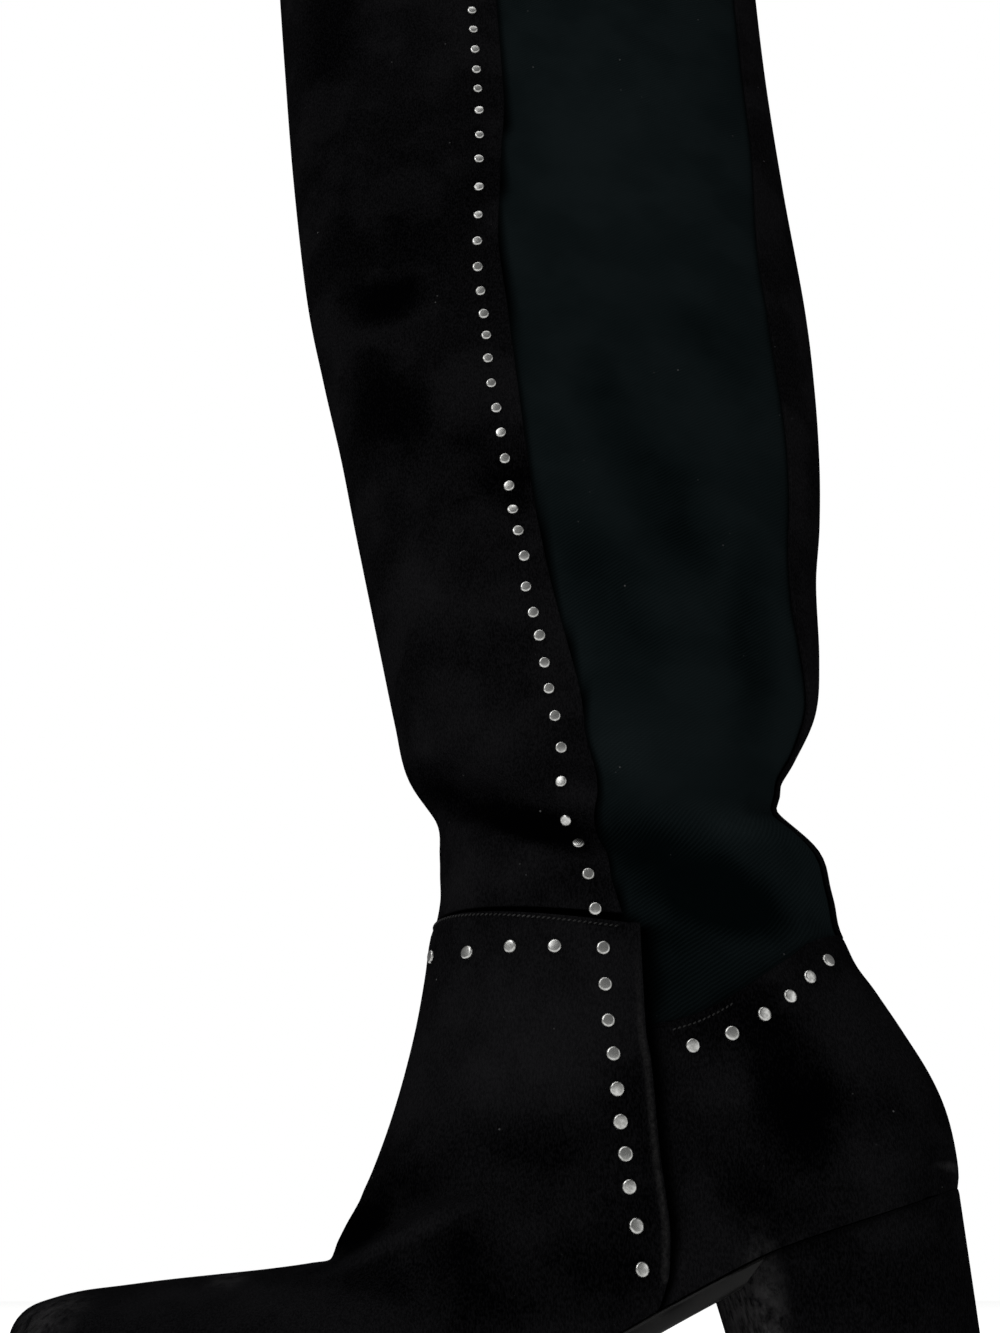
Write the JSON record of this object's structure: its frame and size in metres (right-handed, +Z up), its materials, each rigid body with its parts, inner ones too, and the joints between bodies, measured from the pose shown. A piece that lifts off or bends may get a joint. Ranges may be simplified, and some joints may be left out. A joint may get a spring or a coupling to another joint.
{
  "type": "knee-high boot",
  "caption": "Pull-on knee-high suede boot with stretch side gores, studded panel edges and a covered block heel.",
  "frame": {"origin": "under the middle of the boot, on the floor that it stands on", "axes": "+Z up, +X towards the heel, toe at -X, outer side of the left boot at -Y"},
  "size_m": [0.2358, 0.0894, 0.5],
  "materials": {
    "suede": "black napped suede",
    "stretch_knit": "fine dark green-grey stretch knit",
    "sole_rubber": "dusty black, low sheen",
    "lining": "matt sock lining",
    "stud_metal": "satin nickel"
  },
  "bodies": {
    "root": {"upper": "stretch_knit", "shaft_front": "suede", "vamp": "suede", "back_strip": "suede", "counter": "suede", "insole": "lining", "outsole": "sole_rubber", "heel_block": "suede", "top_piece": "sole_rubber"}
  },
  "joints": []
}
